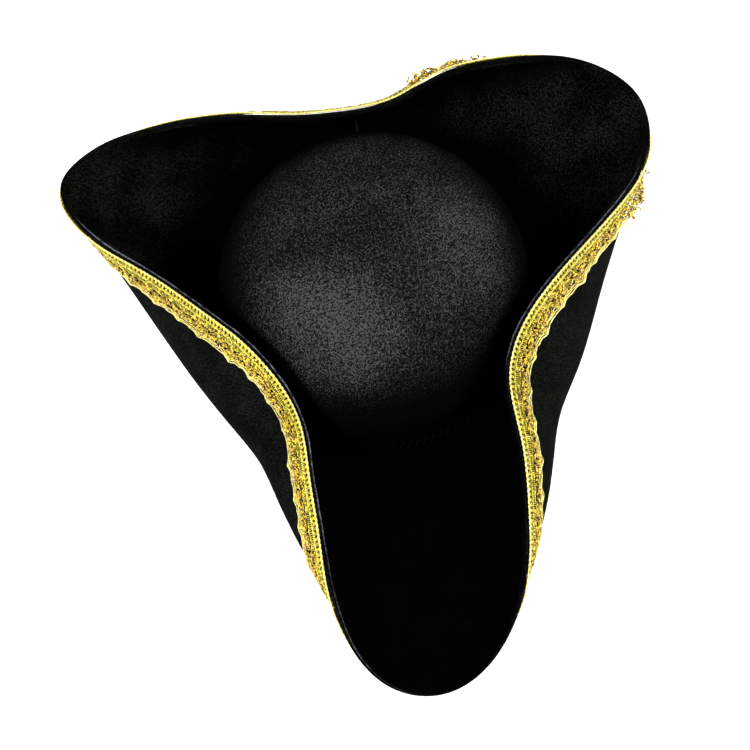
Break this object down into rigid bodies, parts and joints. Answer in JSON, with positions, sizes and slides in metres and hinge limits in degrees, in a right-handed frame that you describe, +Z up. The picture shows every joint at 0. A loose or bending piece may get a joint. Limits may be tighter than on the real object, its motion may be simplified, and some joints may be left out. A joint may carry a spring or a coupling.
{
  "type": "pirate hat",
  "caption": "Costume tricorn hat: round felt crown, layered felt brim turned up on its sides into points, gold lace along the brim's edge.",
  "frame": {"origin": "middle of the hat's bounding box in plan, at the flat underside of the brim round the head opening, on which it rests", "axes": "+Z up through the crown, -Y towards the front point, +X towards the wearer's left"},
  "size_m": [0.3696, 0.3806, 0.105],
  "materials": {
    "crown_felt": "coarse matte felt with short grey fibres",
    "brim_felt": "matte black felt",
    "core_board": "pale grey stiffened interlining",
    "gold_lace": "metallic gold lace thread",
    "sweatband_cloth": "black ribbed cotton tape",
    "black_thread": "matte black thread",
    "label_satin": "white satin"
  },
  "bodies": {
    "root": {"crown_felt": "crown_felt", "brim_upper_felt": "brim_felt", "brim_core": "core_board", "brim_under_felt": "brim_felt", "crown_seam_thread": "black_thread", "sweatband": "sweatband_cloth", "sweatband_thread": "black_thread", "blank_label": "label_satin", "lace_picot_cord": "gold_lace", "lace_heading": "gold_lace", "lace_gimp": "gold_lace", "lace_stitch_thread": "gold_lace", "flap_tack_left": "black_thread", "flap_tack_back": "black_thread", "flap_tack_right": "black_thread"}
  },
  "joints": []
}
